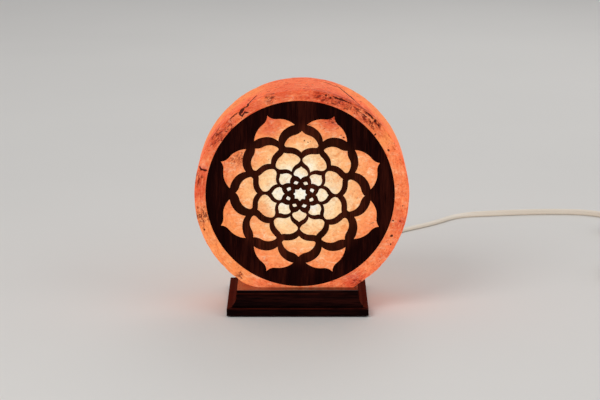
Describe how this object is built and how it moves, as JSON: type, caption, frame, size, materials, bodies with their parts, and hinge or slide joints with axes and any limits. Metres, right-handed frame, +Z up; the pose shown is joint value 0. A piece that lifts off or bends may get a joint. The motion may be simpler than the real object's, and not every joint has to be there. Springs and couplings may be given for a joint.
{
  "type": "salt crystal lamp",
  "caption": "Table lamp: a lit round disc of rock salt on a moulded wooden base, with a round lotus fretwork panel on its front and a mains lead with rocker switch and two-pin plug.",
  "frame": {"origin": "on the table under the lamp: the middle of the box of lamp and base without the lead, at the underside of the rubber feet", "axes": "+Z up, the fretwork front faces -Y, +X to the right seen from the front; the lead leaves the back of the base along +Y"},
  "size_m": [0.4643, 0.3708, 0.1921],
  "materials": {
    "salt": "rough natural rock salt",
    "panel_wood": "laser-cut, dark stain",
    "glue": "hot-melt glue",
    "base_wood": "dark red-brown stain, satin varnish",
    "foot_rubber": "matt",
    "steel": "zinc plated",
    "wall_plug": "nylon",
    "holder_plastic": "moulded",
    "core_ceramic": "glazed steatite",
    "brass": "bare",
    "nickel": "nickel plated",
    "bulb_glass": "clear",
    "cap_glass": "black cap glass",
    "tungsten": "lit filament",
    "cord_sheath": "off-white flexible sheath",
    "core_wire": "insulated core",
    "switch_plastic": "moulded",
    "rocker_plastic": "moulded",
    "plug_plastic": "moulded on the lead",
    "pin_sleeve": "insulating sleeve",
    "tie_band": "soft band"
  },
  "bodies": {
    "lamp": {"salt_disc": "salt", "fretwork_panel": "panel_wood", "panel_glue_dabs": "glue", "wooden_base": "base_wood", "rubber_feet": "foot_rubber", "salt_screws": "steel", "salt_wall_plugs": "wall_plug", "holder_cap": "holder_plastic", "holder_shell": "holder_plastic", "holder_core": "core_ceramic", "socket_sleeve": "brass", "centre_contact": "brass", "terminal_screws": "brass", "threaded_nipple": "steel", "bracket_nut": "steel", "clip_bracket": "steel", "bulb_glass": "bulb_glass", "bulb_cap": "nickel", "bulb_insulator": "cap_glass", "bulb_tip": "nickel", "bulb_stem": "bulb_glass", "bulb_filament": "tungsten", "base_lead": "cord_sheath", "lead_cores": "core_wire", "lead_strap": "holder_plastic", "strap_screws": "steel", "cord_to_switch": "cord_sheath", "switch_base": "switch_plastic", "switch_cover": "switch_plastic", "rocker_pin": "steel", "switch_terminals": "brass", "switch_wires": "core_wire", "housing_screws": "steel", "cord_to_coil": "cord_sheath", "cord_coil": "cord_sheath", "coil_tie": "tie_band", "cord_to_plug": "cord_sheath", "plug_relief": "plug_plastic", "plug_body": "plug_plastic", "plug_pins": "nickel", "pin_sleeves": "pin_sleeve"},
    "rocker": {"switch_rocker": "rocker_plastic"},
    "contact": {"contact_bridge": "brass"}
  },
  "joints": [
    {"name": "rocker_tilt", "type": "hinge", "parent": "lamp", "child": "rocker", "pos_m": [0.3605, 0.191, 0.0134], "axis": [1, 0, 0], "range_deg": [0, 18]},
    {"name": "contact_tilt", "type": "hinge", "parent": "lamp", "child": "contact", "pos_m": [0.3605, 0.191, 0.0065], "axis": [1, 0, 0], "range_deg": [-10.8, 0]}
  ],
  "couplings": [
    {"joint": "contact_tilt", "follows": "rocker_tilt", "ratio": -0.6}
  ]
}
